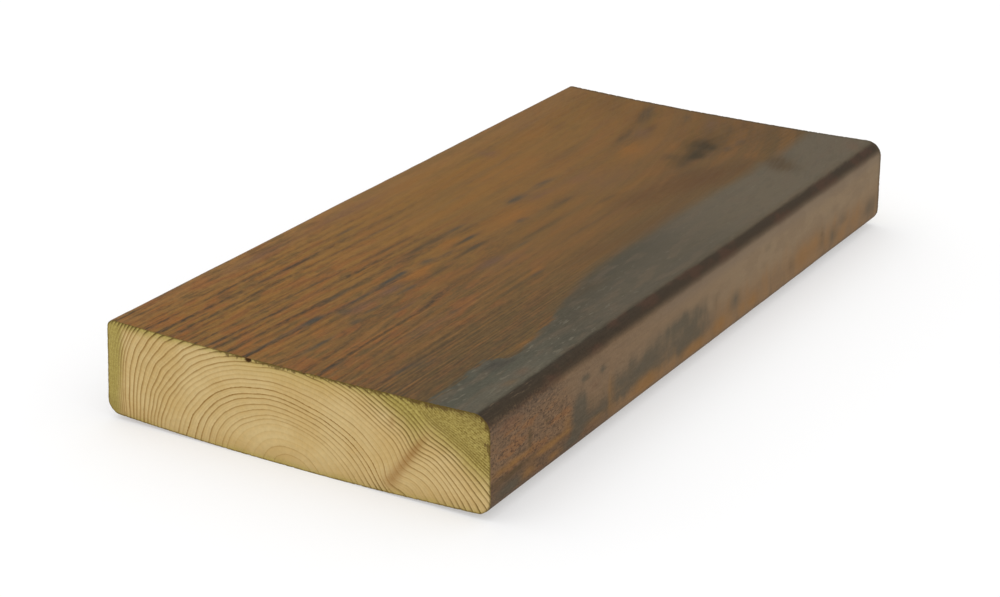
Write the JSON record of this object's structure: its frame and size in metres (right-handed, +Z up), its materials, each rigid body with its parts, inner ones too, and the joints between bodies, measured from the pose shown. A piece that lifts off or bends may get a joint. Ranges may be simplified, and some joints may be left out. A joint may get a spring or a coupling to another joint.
{
  "type": "decking board",
  "caption": "Short length of planed, stained softwood decking board with a rectangular section, rounded long edges and a slight cup; laid across joists as a walking surface.",
  "frame": {"origin": "under the middle of the board, on the lowest line of its bowed underside, where it touches the floor", "axes": "+Y along the board's length, +X across its width, +Z up out of the walking face"},
  "size_m": [0.1198, 0.261, 0.0289],
  "materials": {
    "stained_wood": "planed softwood, brown stained faces, raw sawn ends"
  },
  "bodies": {
    "root": {"decking_board": "stained_wood"}
  },
  "joints": []
}
